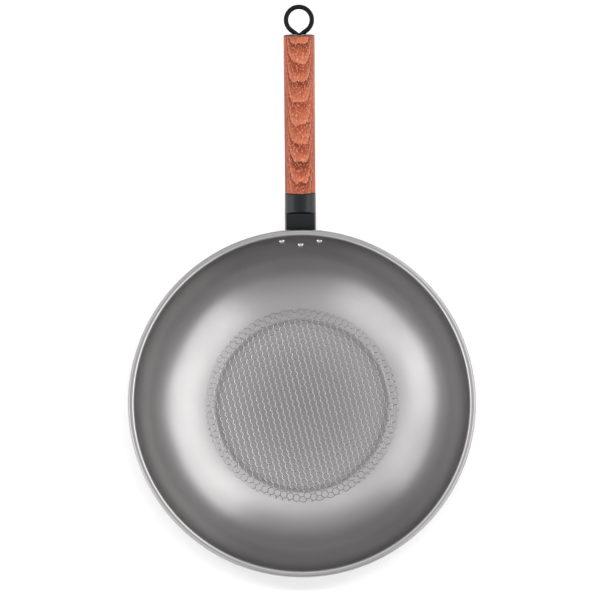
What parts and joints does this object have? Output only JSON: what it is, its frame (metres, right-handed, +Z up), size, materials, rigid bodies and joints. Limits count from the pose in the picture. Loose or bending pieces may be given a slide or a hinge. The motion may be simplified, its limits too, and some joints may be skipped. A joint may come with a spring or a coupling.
{
  "type": "wok",
  "caption": "Flat-based stainless steel wok with a rolled rim, riveted black bracket, turned wooden grip and a screw-in hanging eye",
  "frame": {"origin": "centre of the underside of the flat base, on the surface that the wok stands on", "axes": "+Z up out of the bowl, +Y along the handle in plan, X across the handle"},
  "size_m": [0.32, 0.5233, 0.117],
  "materials": {
    "satin_steel": "satin stainless steel, with a honeycomb of fine raised lines on the inside of the base",
    "black_paint": "satin black baked paint",
    "polished_steel": "polished stainless steel rivets",
    "varnished_wood": "reddish brown wood with arched grain under satin varnish",
    "black_wire": "black coated steel wire with a soft sheen",
    "zinc_plate": "bright zinc plating"
  },
  "bodies": {
    "wok": {"wok_body": "satin_steel", "handle_bracket": "black_paint", "rivet_left": "polished_steel", "rivet_right": "polished_steel", "rivet_middle": "polished_steel", "wood_grip": "varnished_wood", "tie_rod_nut": "zinc_plate"},
    "washer": {"eye_washer": "zinc_plate"},
    "hanging_rod": {"tie_rod": "black_wire"}
  },
  "joints": [
    {"name": "washer_slide", "type": "slide", "parent": "wok", "child": "washer", "axis": [0, 0.9703, 0.2419], "range_m": [0, 0.003]},
    {"name": "eye_turn", "type": "hinge", "parent": "washer", "child": "hanging_rod", "pos_m": [0, 0.195, 0.06816], "axis": [0, 0.9703, 0.2419], "range_deg": [0, 1350.1]}
  ],
  "couplings": [
    {"joint": "eye_turn", "follows": "washer_slide", "rad_per_m": 7854}
  ]
}
